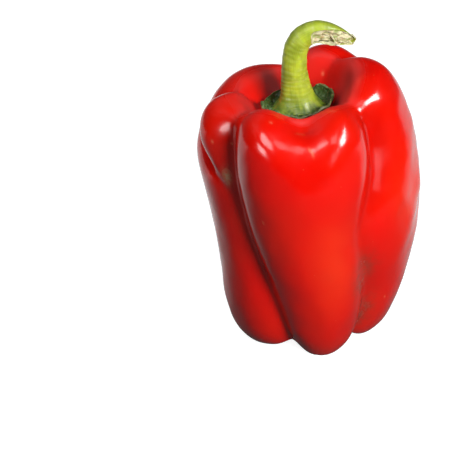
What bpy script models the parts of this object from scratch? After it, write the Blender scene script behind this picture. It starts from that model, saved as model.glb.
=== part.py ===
"""Bell pepper standing on its lobes: a fruit, its calyx and its curved cut stem.

The fruit is a turned outline whose skin sinks into creases between the lobes. The
whole pepper leans a little to -X. Lengths in the shape functions are millimetres,
and MM turns them into metres when a mesh is written.
"""

import math

import bmesh
import bpy
import numpy as np
from mathutils import Vector

MM = 0.001

# Driving dimensions, in millimetres and degrees.
SEAT_HEIGHT = 92.0          # height of the flat where the calyx sits
CREST_HEIGHT = 104.0        # height of the shoulders before each one is raised or lowered
LEAN = math.radians(6.4)    # tilt of the calyx towards -X
CREASE_BLEND = 3.0          # how sharply two creases part from each other

FRUIT_SEGMENTS = 72
FRUIT_RINGS = 40

CALYX_SEGMENTS = 48
CALYX_RINGS = 14
CALYX_GAP = 0.55            # skin to calyx, along the skin's normal
CALYX_THICKNESS = 1.7       # at the centre
CALYX_RIM_THICKNESS = 0.9
CALYX_CURL = 1.3            # how far the rim stands up off the skin
CALYX_RADIUS = 13.6         # between two teeth

STEM_GAP = 0.35             # calyx to stem

# Outline of the fruit as (radius, height): calyx seat, shoulder, flank, foot and
# the hollow between the feet.
OUTLINE = (
    (0, SEAT_HEIGHT), (9, SEAT_HEIGHT), (14.5, SEAT_HEIGHT + 0.3), (17.5, SEAT_HEIGHT + 4),
    (20.5, CREST_HEIGHT - 0.5), (26.5, CREST_HEIGHT + 1.2), (34, CREST_HEIGHT - 0.5),
    (40.5, CREST_HEIGHT - 8), (43.2, CREST_HEIGHT - 19), (43.8, 70), (43, 56), (41.5, 42),
    (39, 27), (36, 14), (31, 2.8), (23, -4.0), (14.5, -0.5), (8, 7.5), (0, 8.0),
)

# Each crease is followed from the calyx to the blossom end at nine even stations:
# its azimuth in degrees from +X, its depth, its angular width and how round its
# bottom is.
CREASES = (
    {"name": "front to right", "width": 19, "round": 0.15,
     "azimuth": (318, 320, 324, 317, 297, 308, 316, 318, 318), "depth": (0, 9, 13, 10, 7, 8, 9, 8, 7)},
    {"name": "right to left, at the back", "width": 19, "round": 0.15,
     "azimuth": (95, 95, 95, 95, 95, 95, 95, 95, 95), "depth": (0, 9, 12, 8, 5, 6, 8, 9, 8)},
    {"name": "left to front", "width": 19, "round": 0.15,
     "azimuth": (213, 214, 216, 219, 226, 235, 244, 250, 252), "depth": (0, 9, 13, 10, 9, 9, 9, 9, 7)},
    {"name": "dip in the front lobe", "width": 18, "round": 0.4,
     "azimuth": (272, 272, 272, 272, 272, 272, 272, 272, 272), "depth": (0, 11, 2.5, 0, 0, 0, 0, 0, 0)},
    {"name": "dip in the right lobe", "width": 15, "round": 0.2,
     "azimuth": (56, 38, 24, 22, 22, 22, 22, 22, 22), "depth": (0, 10, 9, 1, 0, 0, 0, 0, 0)},
    {"name": "dip in the left lobe", "width": 14, "round": 0.2,
     "azimuth": (158, 160, 168, 208, 236, 244, 244, 244, 244), "depth": (0, 10, 11, 6, 2.5, 0, 0, 0, 0)},
)

# The columns of faces that lie along the first three creases, in degrees at the poles.
CREASE_COLUMNS = (310, 95, 235)

# Each shoulder's azimuth in degrees, its rise and how narrow the rise is.
SHOULDERS = ((241, -0.6, 4), (303, -1.4, 4), (10, 3.0, 5), (58, 3.2, 6), (127, -2.2, 6), (190, -1.0, 4))

# Each foot's azimuth in degrees, its drop and how narrow the drop is.
FEET = ((280, -1.5, 6), (20, -0.2, 3), (165, -0.2, 3))

# Girth on each side from calyx to blossom end, as a factor of the outline's radius.
GIRTH_RIGHT = (1, 1, 0.98, 1.0, 1.02, 1.02, 1.01, 1, 1)
GIRTH_BACK = (1, 1, 1, 0.98, 0.97, 0.97, 0.98, 1, 1)
GIRTH_LEFT = (1, 1, 1.02, 0.92, 0.86, 0.84, 0.88, 0.94, 1)
GIRTH_FRONT = (1, 1, 1, 1, 1, 0.99, 0.96, 0.93, 0.93)

# Each tooth of the calyx: its azimuth in degrees, its length and how narrow it is.
TEETH = (
    (5, 2.0, 9), (45, 2.2, 9), (90, 1.2, 9), (130, 2.0, 9), (178, 2.4, 9), (222, 2.0, 9), (268, 1.4, 9),
    (315, 2.2, 9),
)

# The stem's centre line above the calyx seat as (x, height, radius).
STEM_LINE = (
    (0, 2.4, 9.2), (0, 3.0, 8.6), (0, 5.6, 7.0), (-0.2, 10.5, 5.4), (-0.3, 16.0, 4.6), (0.3, 21.6, 4.4),
    (2.4, 27.9, 4.0), (8.8, 30.4, 3.8), (13.6, 28.5, 3.8), (17.0, 26.7, 3.8), (20.6, 24.7, 3.5),
)
STEM_CUT_POINT = (14.7, -1.5, 25.9)      # on the slanting cut, from the calyx seat
STEM_CUT_NORMAL = (0.2, -0.8, -0.55)     # the way the cut face looks
STEM_CUTTER_SIZE = 20


def b_spline(values, position):
    """Uniform cubic B-spline through the end values; position runs from 0 to 1."""
    control = np.asarray(values, dtype=float)
    scalar = control.ndim == 1
    if scalar:
        control = control[:, None]
    control = np.concatenate([control[:1], control[:1], control, control[-1:], control[-1:]])
    spans = len(control) - 3
    along = np.clip(position, 0, 1) * spans
    first = np.minimum(along.astype(int), spans - 1)
    f = (along - first)[..., None]
    weights = ((1 - f) ** 3, 3 * f**3 - 6 * f**2 + 4, -3 * f**3 + 3 * f**2 + 3 * f + 1, f**3)
    result = sum(w * control[first + k] for k, w in enumerate(weights)) / 6
    return result[..., 0] if scalar else result


def smooth_step(value):
    """Rise from 0 to 1 with level ends."""
    value = np.clip(value, 0, 1)
    return value * value * (3 - 2 * value)


def outline_point(station):
    """Radius, height and outward normal of the outline at a share of its length."""
    points = b_spline(OUTLINE, np.linspace(0, 1, 4000))
    steps = np.hypot(*np.diff(points, axis=0).T)
    length = np.concatenate([[0], np.cumsum(steps)])
    length = length / length[-1]
    tangent = np.gradient(points, axis=0)
    tangent = tangent / np.linalg.norm(tangent, axis=1)[:, None]
    radius = np.interp(station, length, points[:, 0])
    height = np.interp(station, length, points[:, 1])
    along_r = np.interp(station, length, tangent[:, 0])
    along_z = np.interp(station, length, tangent[:, 1])
    size = np.hypot(along_r, along_z)
    return radius, height, -along_z / size, along_r / size


def crease_depth(azimuth, station):
    """Depth of the skin under the outline, the deepest crease winning smoothly."""
    total = 0
    for crease in CREASES:
        centre = np.radians(b_spline(crease["azimuth"], station))
        depth = np.maximum(b_spline(crease["depth"], station), 0)
        turn = (azimuth - centre + math.pi) % (2 * math.pi) - math.pi
        away = turn / math.radians(crease["width"])
        rounding = crease["round"]
        share = np.exp(rounding - np.sqrt(away**2 + rounding**2))
        total = total + (depth * share) ** CREASE_BLEND
    blossom_end = smooth_step((1 - station) / 0.09)
    return blossom_end * total ** (1 / CREASE_BLEND)


def girth(azimuth, station):
    """Factor on the radius, blended between the four sides."""
    c = np.cos(azimuth)
    s = np.sin(azimuth)
    sideways = np.where(c > 0, b_spline(GIRTH_RIGHT, station), b_spline(GIRTH_LEFT, station))
    depthways = np.where(s > 0, b_spline(GIRTH_BACK, station), b_spline(GIRTH_FRONT, station))
    return c * c * sideways + s * s * depthways


def bumps(azimuth, bump_list):
    """Sum of rounded bumps around the fruit's axis."""
    total = 0
    for centre, amount, narrowness in bump_list:
        total = total + amount * np.exp(narrowness * (np.cos(azimuth - math.radians(centre)) - 1))
    return total


def height_change(azimuth, station):
    """Rise of each shoulder and drop of each foot, fading out towards the flanks."""
    shoulders = smooth_step((station - 0.06) / 0.09) * (1 - smooth_step((station - 0.25) / 0.45))
    feet = smooth_step((station - 0.7) / 0.15) * smooth_step((1 - station) / 0.06)
    return shoulders * bumps(azimuth, SHOULDERS) + feet * bumps(azimuth, FEET)


def lean(x, y, z):
    """Bend the upright pepper towards -X up to the calyx seat, straight above it."""
    below = np.clip(z, 0, SEAT_HEIGHT)
    above = np.clip(z - SEAT_HEIGHT, 0, None)
    angle = LEAN * below / SEAT_HEIGHT
    leaned_x = x * np.cos(angle) - angle * below / 2 - math.sin(LEAN) * above
    leaned_z = np.minimum(z, SEAT_HEIGHT) + math.cos(LEAN) * above + x * np.sin(angle)
    return np.stack([leaned_x, y, leaned_z], axis=-1)


def skin(azimuth, station, groove=1.0, lift=0.0):
    """Point on the fruit's skin, with its creases scaled by groove and raised by lift."""
    radius, height, normal_r, normal_z = outline_point(station)
    inward = groove * crease_depth(azimuth, station) - lift
    radius = (radius - inward * normal_r) * girth(azimuth, station)
    height = height - inward * normal_z + height_change(azimuth, station)
    points = lean(radius * np.cos(azimuth), radius * np.sin(azimuth), height)
    points[..., 2] = np.maximum(points[..., 2], 0)
    return points


def calyx_point(azimuth, way):
    """Point on the calyx: way 0 is its top centre, 1 its rim and 2 its underside's centre."""
    reach = CALYX_RADIUS + bumps(azimuth, TEETH)
    outward = 1 - np.abs(way - 1)
    stations = np.linspace(0, 0.25, 600)
    station = np.interp(reach * outward, outline_point(stations)[0], stations)
    thickness = CALYX_THICKNESS + (CALYX_RIM_THICKNESS - CALYX_THICKNESS) * outward**2
    edge = np.sqrt(1 - np.clip((outward - 0.92) / 0.08, 0, 1) ** 2)
    middle = CALYX_GAP + thickness / 2 + CALYX_CURL * smooth_step((outward - 0.7) / 0.3)
    lift = middle + np.where(way < 1, 0.5, -0.5) * thickness * edge
    return skin(azimuth, station, groove=0.5, lift=lift)


def moulded_sphere(name, segments, rings, surface, collection):
    """Mould a UV sphere: surface takes each vertex's azimuth and polar angle."""
    shape = bmesh.new()
    bmesh.ops.create_uvsphere(shape, u_segments=segments, v_segments=rings, radius=1.0)
    sphere = np.array([vertex.co[:] for vertex in shape.verts])
    azimuth = np.arctan2(sphere[:, 1], sphere[:, 0])
    polar = np.arccos(np.clip(sphere[:, 2], -1, 1))
    for vertex, point in zip(shape.verts, surface(azimuth, polar) * MM):
        vertex.co = Vector(point)
    mesh = bpy.data.meshes.new(name)
    shape.to_mesh(mesh)
    shape.free()
    mesh.shade_smooth()
    piece = bpy.data.objects.new(name, mesh)
    collection.objects.link(piece)
    return piece


def follow_creases(column, station):
    """Azimuth of a column of faces, turned so that a column runs along each main crease."""
    column = np.mod(column, 2 * math.pi)
    order = np.argsort(CREASE_COLUMNS)
    edges = np.radians([CREASE_COLUMNS[k] for k in order])
    edges = np.append(edges, edges[0] + 2 * math.pi)
    lines = [np.radians(b_spline(CREASES[k]["azimuth"], station)) for k in order]
    lines.append(lines[0] + 2 * math.pi)
    column = np.where(column < edges[0], column + 2 * math.pi, column)
    azimuth = column
    for start, end, line, next_line in zip(edges, edges[1:], lines, lines[1:]):
        share = (column - start) / (end - start)
        inside = (share >= 0) & (share <= 1)
        azimuth = np.where(inside, line + share * (next_line - line), azimuth)
    return azimuth


def make_fruit(collection):
    """The fruit's skin, from the calyx seat over the shoulders to the feet."""
    def surface(azimuth, polar):
        station = polar / math.pi
        return skin(follow_creases(azimuth, station), station)

    return moulded_sphere("fruit", FRUIT_SEGMENTS, FRUIT_RINGS, surface, collection)


def make_calyx(collection):
    """The toothed green cap that follows the skin around the stem."""
    def surface(azimuth, polar):
        return calyx_point(azimuth, 2 * polar / math.pi)

    return moulded_sphere("calyx", CALYX_SEGMENTS, CALYX_RINGS, surface, collection)


def seat_point():
    """Centre of the calyx seat on the leaning pepper."""
    point = lean(np.array(0.0), np.array(0.0), np.array(SEAT_HEIGHT))
    return Vector(point) * MM


def make_stem_rod(collection):
    """The stem before its end is cut: a tapered curve, made into a mesh."""
    curve = bpy.data.curves.new("stem_line", "CURVE")
    curve.dimensions = "3D"
    curve.resolution_u = 4
    curve.bevel_depth = MM
    curve.bevel_resolution = 4
    curve.use_fill_caps = True
    spline = curve.splines.new("NURBS")
    spline.points.add(len(STEM_LINE) - 1)
    for point, (x, height, radius) in zip(spline.points, STEM_LINE):
        point.co = (x * MM, 0, (height + STEM_GAP) * MM, 1)
        point.radius = radius
    spline.order_u = 4
    spline.use_endpoint_u = True
    guide = bpy.data.objects.new("stem_guide", curve)
    collection.objects.link(guide)
    guide.location = seat_point()
    guide.rotation_euler = (0, -LEAN, 0)
    bpy.context.view_layer.update()
    evaluated = guide.evaluated_get(bpy.context.evaluated_depsgraph_get())
    mesh = bpy.data.meshes.new_from_object(evaluated)
    mesh.name = "stem"
    weld(mesh)
    stem = bpy.data.objects.new("stem", mesh)
    stem.matrix_world = guide.matrix_world
    bpy.data.objects.remove(guide)
    collection.objects.link(stem)
    return stem


def weld(mesh):
    """Join the curve's caps to its wall."""
    shape = bmesh.new()
    shape.from_mesh(mesh)
    bmesh.ops.remove_doubles(shape, verts=shape.verts, dist=0.00001)
    bmesh.ops.recalc_face_normals(shape, faces=shape.faces)
    shape.to_mesh(mesh)
    shape.free()


def make_stem(collection, cutters):
    """The curved stem, cut off at a slant near its end."""
    stem = make_stem_rod(collection)
    size = STEM_CUTTER_SIZE * MM
    shape = bmesh.new()
    bmesh.ops.create_cube(shape, size=size)
    mesh = bpy.data.meshes.new("stem_cutter")
    shape.to_mesh(mesh)
    shape.free()
    cutter = bpy.data.objects.new("stem_cutter", mesh)
    cutters.objects.link(cutter)
    cutter.parent = stem
    normal = Vector(STEM_CUT_NORMAL).normalized()
    cutter.rotation_euler = normal.to_track_quat("Z", "Y").to_euler()
    cutter.location = Vector(STEM_CUT_POINT) * MM + normal * size / 2
    cutter.hide_render = True
    cutter.display_type = "WIRE"
    cut = stem.modifiers.new("slanting cut", "BOOLEAN")
    cut.operation = "DIFFERENCE"
    cut.object = cutter
    stem.data.shade_smooth()
    return stem


def make_material(name, color, roughness):
    """A plain Principled material."""
    material = bpy.data.materials.new(name)
    material.use_nodes = True
    shader = material.node_tree.nodes["Principled BSDF"]
    shader.inputs["Base Color"].default_value = (*color, 1)
    shader.inputs["Roughness"].default_value = roughness
    shader.inputs["Metallic"].default_value = 0
    return material


def stand_on_origin(root, pieces):
    """Move the pepper so that the origin is under its box's centre, on the floor."""
    bpy.context.view_layer.update()
    graph = bpy.context.evaluated_depsgraph_get()
    points = []
    for piece in pieces:
        evaluated = piece.evaluated_get(graph)
        matrix = evaluated.matrix_world
        points += [matrix @ vertex.co for vertex in evaluated.data.vertices]
    points = np.array(points)
    low = points.min(axis=0)
    high = points.max(axis=0)
    root.location = (-(low[0] + high[0]) / 2, -(low[1] + high[1]) / 2, -low[2])


def new_collection(name):
    """A collection in the scene."""
    collection = bpy.data.collections.new(name)
    bpy.context.scene.collection.children.link(collection)
    return collection


def main():
    """Build the pepper."""
    for old in list(bpy.data.objects):
        bpy.data.objects.remove(old)
    collection = new_collection("bell_pepper")
    cutters = new_collection("cutters")
    root = bpy.data.objects.new("pepper_root", None)
    collection.objects.link(root)
    fruit = make_fruit(collection)
    calyx = make_calyx(collection)
    stem = make_stem(collection, cutters)
    fruit.data.materials.append(make_material("skin", (0.72, 0.008, 0.004), 0.2))
    calyx.data.materials.append(make_material("calyx", (0.045, 0.075, 0.015), 0.55))
    stem.data.materials.append(make_material("stem", (0.36, 0.42, 0.06), 0.4))
    pieces = (fruit, calyx, stem)
    for piece in pieces:
        piece.parent = root
    stand_on_origin(root, pieces)


main()
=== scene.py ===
"""Bell pepper: a glossy three-lobed fruit with a rough calyx and a curved torn stem.

Each surface is a function of two parameters, worked out with numpy in millimetres
about the calyx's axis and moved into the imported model's frame in metres.
"""
from __future__ import annotations

import logging
import math
from dataclasses import dataclass
from enum import Enum
from typing import ClassVar

import bpy
import numpy as np
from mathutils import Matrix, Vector

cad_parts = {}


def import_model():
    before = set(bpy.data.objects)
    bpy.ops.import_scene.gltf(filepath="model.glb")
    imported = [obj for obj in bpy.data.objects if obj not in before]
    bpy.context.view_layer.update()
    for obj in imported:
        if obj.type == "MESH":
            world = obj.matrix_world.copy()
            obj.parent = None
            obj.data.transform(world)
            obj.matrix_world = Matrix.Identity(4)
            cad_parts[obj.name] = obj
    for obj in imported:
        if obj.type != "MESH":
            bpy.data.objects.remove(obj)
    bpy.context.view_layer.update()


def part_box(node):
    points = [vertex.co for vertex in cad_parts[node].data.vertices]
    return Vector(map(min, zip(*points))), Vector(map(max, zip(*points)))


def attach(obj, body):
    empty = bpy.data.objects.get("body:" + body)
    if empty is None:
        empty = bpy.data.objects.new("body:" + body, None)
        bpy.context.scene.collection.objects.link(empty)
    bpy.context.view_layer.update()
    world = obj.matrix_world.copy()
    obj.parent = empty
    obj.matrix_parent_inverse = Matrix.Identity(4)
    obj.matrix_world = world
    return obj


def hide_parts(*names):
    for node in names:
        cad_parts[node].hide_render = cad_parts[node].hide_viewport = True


LOG = logging.getLogger("bell_pepper")
MM = 0.001
FULL_TURN = 2 * math.pi

Array = np.ndarray
Numbers = tuple[float, ...]
Pair = tuple[float, float]
Color = tuple[float, float, float]
Point = tuple[float, float, float]
Bumps = tuple[tuple[float, float, float], ...]
Material = bpy.types.Material
Node = bpy.types.Node
NodeTree = bpy.types.NodeTree
Piece = bpy.types.Object
Socket = bpy.types.NodeSocket


class Mark(Enum):
    """Names of the vertex attributes that the finishes read."""

    CREASE_SHADE = "crease_shade"
    BRUISE = "bruise"
    SCAR = "scar"
    NICK = "nick"
    SHADE = "shade"
    RIM = "rim"
    VEIN = "vein"
    ALONG = "along"
    AROUND = "around"
    CUT = "cut"
    SLIT_SHADE = "slit_shade"
    BLUSH = "blush"


# --- numeric helpers ---


def b_spline(values: object, position: Array) -> Array:
    """Uniform cubic B-spline that starts and ends on its end values.

    Each span blends four neighbouring control values with the cubic B-spline
    weights; the end values are tripled.

    Args:
        values: Control values, as numbers or as rows of coordinates.
        position: Where to read the spline, from 0 to 1.

    Returns:
        The spline's values, one for each position.
    """
    control = np.asarray(values, dtype=float)
    scalar = control.ndim == 1
    if scalar:
        control = control[:, None]
    control = np.concatenate([control[:1], control[:1], control, control[-1:], control[-1:]])
    spans = len(control) - 3
    along = np.clip(position, 0, 1) * spans
    first = np.minimum(along.astype(int), spans - 1)
    f = (along - first)[..., None]
    weights = ((1 - f) ** 3, 3 * f**3 - 6 * f**2 + 4, -3 * f**3 + 3 * f**2 + 3 * f + 1, f**3)
    result = sum(w * control[first + k] for k, w in enumerate(weights)) / 6
    return result[..., 0] if scalar else result


def smooth_step(value: Array) -> Array:
    """Rise from 0 to 1 with level ends: 3v^2 - 2v^3 of the clipped value."""
    value = np.clip(value, 0, 1)
    return value * value * (3 - 2 * value)


def angle_gap(azimuth: Array, centre: Array | float) -> Array:
    """Signed turn from centre to azimuth, wrapped into half a turn each way."""
    return (azimuth - centre + math.pi) % FULL_TURN - math.pi


def ring_bumps(azimuth: Array, bumps: Bumps) -> Array:
    """Sum of rounded bumps around an axis.

    Each bump is amount * exp(narrowness * (cos(turn from its centre) - 1)).

    Args:
        azimuth: Angles in radians.
        bumps: Each bump's centre in degrees, its amount and its narrowness.

    Returns:
        The summed bumps.
    """
    total = np.zeros_like(np.asarray(azimuth, dtype=float))
    for centre, amount, narrowness in bumps:
        total = total + amount * np.exp(narrowness * (np.cos(azimuth - math.radians(centre)) - 1))
    return total


@dataclass(frozen=True)
class WaveField:
    """A smooth random field: the mean of sine waves in seeded directions."""

    shortest: float
    longest: float
    waves: int
    seed: int

    def at(self, points: Array) -> Array:
        """Field value at each point, about -1 to 1.

        Each wave is sin(k . p + phase), with the length of k drawn between the two
        wavelengths.

        Args:
            points: Coordinates in millimetres, last axis x, y, z.

        Returns:
            One value for each point.
        """
        draw = np.random.default_rng(self.seed)
        total = np.zeros(points.shape[:-1])
        for _ in range(self.waves):
            direction = draw.normal(size=3)
            direction /= np.linalg.norm(direction)
            length = draw.uniform(self.shortest, self.longest)
            phase = draw.uniform(0, FULL_TURN)
            total += np.sin(points @ direction * (FULL_TURN / length) + phase)
        return total / math.sqrt(self.waves)


def parameter_grid(columns: int, start: float, end: float, rows: int) -> list[Array]:
    """Turn of each column once around, and even row values from start to end."""
    turns = np.linspace(0, FULL_TURN, columns, endpoint=False)
    return np.meshgrid(turns, np.linspace(start, end, rows))


# --- mesh building ---


@dataclass(frozen=True)
class Grid:
    """A closed surface: rows that run once around, between two poles."""

    points: Array
    marks: dict[Mark, Array]

    def arrays(self) -> tuple[Array, Array, Array, dict[Mark, Array]]:
        """Vertices, corners, face sizes and vertex values.

        Quads join each row to the next and wrap around; triangles fan from the
        poles, which are the first and last rows.

        Returns:
            Points (n, 3), vertex index of each corner, corner count of each face,
            and the marks' values.
        """
        rows, columns = self.points.shape[:2]
        ids = 1 + np.arange((rows - 2) * columns).reshape(rows - 2, columns)
        right = np.roll(ids, -1, axis=1)
        last = 1 + ids.size
        quads = np.stack([ids[:-1], ids[1:], right[1:], right[:-1]], axis=-1).reshape(-1, 4)
        top = np.stack([np.zeros_like(ids[0]), ids[0], right[0]], axis=-1)
        bottom = np.stack([np.full_like(ids[-1], last), right[-1], ids[-1]], axis=-1)
        loops = np.concatenate([quads.ravel(), top.ravel(), bottom.ravel()])
        sizes = np.concatenate([np.full(len(quads), 4), np.full(2 * columns, 3)])
        values = {mark: self.unrolled(grid[..., None])[:, 0] for mark, grid in self.marks.items()}
        return self.unrolled(self.points), loops, sizes, values

    @staticmethod
    def unrolled(grid: Array) -> Array:
        """Grid as a list with each pole once."""
        return np.concatenate([grid[0, :1], grid[1:-1].reshape(-1, grid.shape[-1]), grid[-1, :1]])


def closed_surface(name: str, grids: list[Grid], *materials: Material) -> Piece:
    """Make one mesh object from closed grids that carry the same marks.

    Args:
        name: The piece's name.
        grids: The closed surfaces, in metres.
        materials: What it is dressed in.

    Returns:
        The new object, at the origin.
    """
    vertices, loops, sizes, values = zip(*(grid.arrays() for grid in grids))
    first = np.cumsum([0] + [len(part) for part in vertices[:-1]])
    joined = {mark: np.concatenate([value[mark] for value in values]) for mark in values[0]}
    piece = mesh_object(
        name, np.concatenate(vertices), np.concatenate([part + k for part, k in zip(loops, first)]),
        np.concatenate(sizes), joined,
    )
    for material in materials:
        piece.data.materials.append(material)
    return piece


def mesh_object(
    name: str, vertices: Array, loops: Array, sizes: Array, values: dict[Mark, Array]
) -> Piece:
    """Put arrays into a smooth-shaded mesh object.

    Args:
        name: The piece's name.
        vertices: Points in metres, (n, 3).
        loops: Vertex index of each face corner, face after face.
        sizes: Corner count of each face.
        values: Vertex values to store as attributes.

    Returns:
        The new object, linked to the scene.
    """
    mesh = bpy.data.meshes.new(name)
    mesh.vertices.add(len(vertices))
    mesh.vertices.foreach_set("co", vertices.astype(np.float32).ravel())
    mesh.loops.add(len(loops))
    mesh.loops.foreach_set("vertex_index", loops.astype(np.int32))
    mesh.polygons.add(len(sizes))
    starts = np.cumsum(sizes) - sizes
    mesh.polygons.foreach_set("loop_start", starts.astype(np.int32))
    mesh.update(calc_edges=True)
    mesh.validate()
    mesh.shade_smooth()
    for mark, value in values.items():
        layer = mesh.attributes.new(mark.value, "FLOAT", "POINT")
        layer.data.foreach_set("value", value.astype(np.float32))
    piece = bpy.data.objects.new(name, mesh)
    bpy.context.scene.collection.objects.link(piece)
    return piece


# --- the grown form ---


@dataclass(frozen=True)
class Crease:
    """One crease followed from calyx to blossom end at nine even stations."""

    azimuth: Numbers
    depth: Numbers
    width: float
    rounding: float


@dataclass(frozen=True)
class PepperForm:
    """Sizes of the fruit in millimetres and degrees, and its surface function.

    Each shoulder and foot is a centre in degrees, a rise and a narrowness. The
    girths are those of the right, back, left and front, calyx to blossom end.
    """

    seat: float = 92.0
    crest: float = 104.0
    lean: float = math.radians(6.4)
    crease_blend: float = 3.0
    outline_samples: int = 4000
    creases: tuple[Crease, ...] = (
        Crease((318, 320, 324, 317, 297, 308, 316, 318, 318), (0, 9, 13, 10, 7, 8, 9, 8, 7), 19, 0.15),
        Crease((95,) * 9, (0, 7, 10, 8, 5, 6, 8, 9, 8), 15, 0.2),
        Crease((213, 214, 216, 219, 226, 235, 244, 250, 252), (0, 9, 13, 10, 9, 9, 9, 9, 7), 19, 0.15),
        Crease((272,) * 9, (0, 12, 3.5, 0.3, 0, 0, 0, 0, 0), 19, 0.5),
        Crease((56, 38, 24, 22, 22, 22, 22, 22, 22), (0, 10, 9, 1, 0, 0, 0, 0, 0), 15, 0.2),
        Crease((158, 160, 168, 208, 236, 244, 244, 244, 244), (0, 10, 11, 6, 2.5, 0, 0, 0, 0), 14, 0.2),
    )
    crease_columns: Numbers = (310, 95, 235)
    shoulders: Bumps = (
        (241, 0.6, 4), (303, -0.8, 4), (10, 3.0, 5), (58, 3.2, 6), (127, -2.2, 6), (190, -1.0, 4),
    )
    feet: Bumps = ((280, -1.5, 6), (20, -0.2, 3), (165, -0.2, 3))
    girths: tuple[Numbers, ...] = (
        (1, 1, 0.98, 1.0, 1.02, 1.02, 1.01, 1, 1),
        (1, 1, 1, 0.98, 0.97, 0.97, 0.98, 1, 1),
        (1, 1, 1.02, 0.92, 0.86, 0.84, 0.88, 0.94, 1),
        (1, 1, 1, 1, 1, 0.99, 0.96, 0.93, 0.93),
    )

    def outline(self) -> tuple[Pair, ...]:
        """Radius and height from the calyx seat over shoulder, flank and foot.

        Returns:
            Radius and height of each control point, in millimetres.
        """
        seat, crest = self.seat, self.crest
        return (
            (0, seat), (9, seat), (14.5, seat + 0.3), (17.2, seat + 4.5), (19.8, crest - 0.5),
            (26.5, crest + 1.2), (34, crest - 0.5), (40.5, crest - 8), (43.2, crest - 19), (43.8, 70),
            (43, 56), (41.5, 42), (39, 27), (36, 14), (31, 2.8), (23, -4.0), (14.5, -0.5), (8, 7.5),
            (0, 8.0),
        )

    def outline_point(self, station: Array) -> tuple[Array, Array, Array, Array]:
        """Read the outline by its own length.

        Args:
            station: Share of the outline's length, 0 at the calyx.

        Returns:
            Radius, height and the outward normal's two parts.
        """
        points = b_spline(self.outline(), np.linspace(0, 1, self.outline_samples))
        length = np.concatenate([[0], np.cumsum(np.hypot(*np.diff(points, axis=0).T))])
        length /= length[-1]
        tangent = np.gradient(points, axis=0)
        tangent /= np.linalg.norm(tangent, axis=1)[:, None]
        radius, height, along_r, along_z = (
            np.interp(station, length, column) for column in np.hstack([points, tangent]).T
        )
        size = np.hypot(along_r, along_z)
        return radius, height, -along_z / size, along_r / size

    def crease_depth(self, azimuth: Array, station: Array) -> Array:
        """Depth of the skin under the outline.

        Each crease sinks by depth * exp(rounding - sqrt(away^2 + rounding^2)), with
        away its turn over its width. The creases join as a power mean, and all end
        at the blossom end.

        Args:
            azimuth: Angles in radians.
            station: Shares of the outline's length.

        Returns:
            Depth in millimetres.
        """
        total = np.zeros(np.broadcast(azimuth, station).shape)
        for crease in self.creases:
            centre = np.radians(b_spline(crease.azimuth, station))
            depth = np.maximum(b_spline(crease.depth, station), 0)
            away = angle_gap(azimuth, centre) / math.radians(crease.width)
            share = np.exp(crease.rounding - np.sqrt(away**2 + crease.rounding**2))
            total += (depth * share) ** self.crease_blend
        return smooth_step((1 - station) / 0.09) * total ** (1 / self.crease_blend)

    def girth(self, azimuth: Array, station: Array) -> Array:
        """Factor on the radius: the four sides' girths blended by cos^2 and sin^2.

        Args:
            azimuth: Angles in radians.
            station: Shares of the outline's length.

        Returns:
            The factor at each point.
        """
        c, s = np.cos(azimuth), np.sin(azimuth)
        right, back, left, front = (b_spline(side, station) for side in self.girths)
        return c * c * np.where(c > 0, right, left) + s * s * np.where(s > 0, back, front)

    def height_change(self, azimuth: Array, station: Array) -> Array:
        """Rise of each shoulder and drop of each foot, fading out on the flanks.

        Args:
            azimuth: Angles in radians.
            station: Shares of the outline's length.

        Returns:
            Change of height in millimetres.
        """
        shoulders = smooth_step((station - 0.06) / 0.09) * (1 - smooth_step((station - 0.25) / 0.45))
        feet = smooth_step((station - 0.7) / 0.15) * smooth_step((1 - station) / 0.06)
        return shoulders * ring_bumps(azimuth, self.shoulders) + feet * ring_bumps(azimuth, self.feet)

    def leaned(self, x: Array, y: Array, z: Array) -> Array:
        """Bend the upright pepper towards -X.

        The tilt grows evenly up to the calyx seat and stays the same above it.

        Args:
            x: Across.
            y: Depth.
            z: Height.

        Returns:
            Points, last axis x, y, z.
        """
        below = np.clip(z, 0, self.seat)
        above = np.clip(z - self.seat, 0, None)
        angle = self.lean * below / self.seat
        leaned_x = x * np.cos(angle) - angle * below / 2 - math.sin(self.lean) * above
        leaned_z = np.minimum(z, self.seat) + math.cos(self.lean) * above + x * np.sin(angle)
        return np.stack([leaned_x, y, leaned_z], axis=-1)

    def skin(
        self, azimuth: Array, station: Array, groove: float = 1.0, lift: Array | float = 0.0
    ) -> Array:
        """Point on the fruit: the turned outline, sunk by its creases, then leaned.

        Args:
            azimuth: Angles in radians.
            station: Shares of the outline's length.
            groove: Factor on the creases' depth.
            lift: Millimetres outwards along the outline's normal.

        Returns:
            Points in millimetres, resting on the floor where they meet it.
        """
        radius, height, normal_r, normal_z = self.outline_point(station)
        inward = groove * self.crease_depth(azimuth, station) - lift
        radius = (radius - inward * normal_r) * self.girth(azimuth, station)
        height = height - inward * normal_z + self.height_change(azimuth, station)
        points = self.leaned(radius * np.cos(azimuth), radius * np.sin(azimuth), height)
        points[..., 2] = np.maximum(points[..., 2], 0)
        return points

    def follow_creases(self, column: Array, station: Array) -> Array:
        """Azimuth of a column of faces, so that a column runs along each main crease.

        Between two creases the columns spread evenly.

        Args:
            column: The column's azimuth at the poles, in radians.
            station: Shares of the outline's length.

        Returns:
            Azimuth in radians.
        """
        order = np.argsort(self.crease_columns)
        edges = np.radians([self.crease_columns[k] for k in order])
        edges = np.append(edges, edges[0] + FULL_TURN)
        lines = [np.radians(b_spline(self.creases[k].azimuth, station)) for k in order]
        lines.append(lines[0] + FULL_TURN)
        column = np.where(column < edges[0], column + FULL_TURN, column)
        azimuth = column
        for start, end, line, next_line in zip(edges, edges[1:], lines, lines[1:]):
            share = (column - start) / (end - start)
            inside = (share >= 0) & (share <= 1)
            azimuth = np.where(inside, line + share * (next_line - line), azimuth)
        return azimuth


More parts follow.
